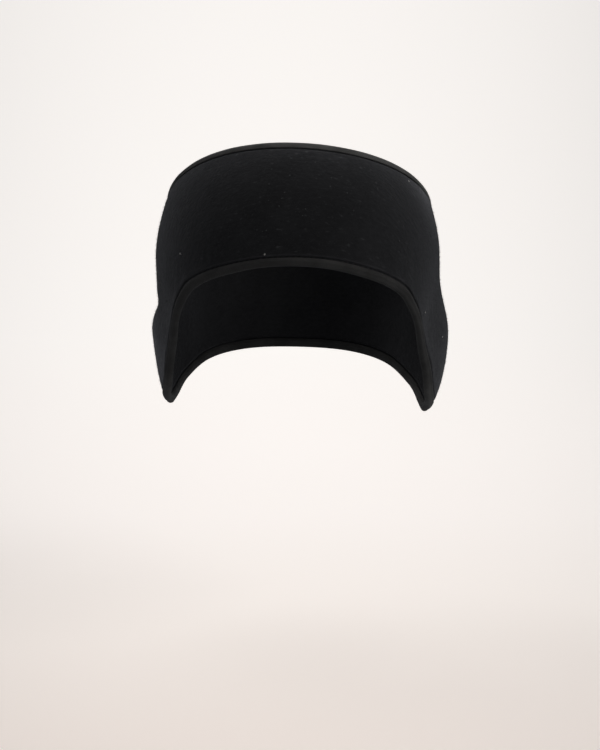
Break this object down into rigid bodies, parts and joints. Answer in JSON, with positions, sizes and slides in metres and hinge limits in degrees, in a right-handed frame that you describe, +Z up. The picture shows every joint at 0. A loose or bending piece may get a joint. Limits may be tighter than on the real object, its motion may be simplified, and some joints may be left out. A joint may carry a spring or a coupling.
{
  "type": "ear warmer headband",
  "caption": "Fleece ear warmer headband: a wide loop, high over the forehead, that dips over both ears and runs low round the back of the head, with a folded binding sewn over each long edge.",
  "frame": {"origin": "on the upright axis of the head that wears the band, level with the tops of the ears", "axes": "+Z up along the head, -Y towards the forehead, +X towards the wearer's left ear"},
  "size_m": [0.1726, 0.2019, 0.1559],
  "materials": {
    "fleece": "matt black fleece with a short soft nap and a faint sheen at grazing angles",
    "binding": "matt black folded knit strip, smoother than the fleece",
    "thread": "black sewing thread with a slight twist"
  },
  "bodies": {
    "root": {"fleece_panel": "fleece", "top_binding": "binding", "bottom_binding": "binding"}
  },
  "joints": []
}
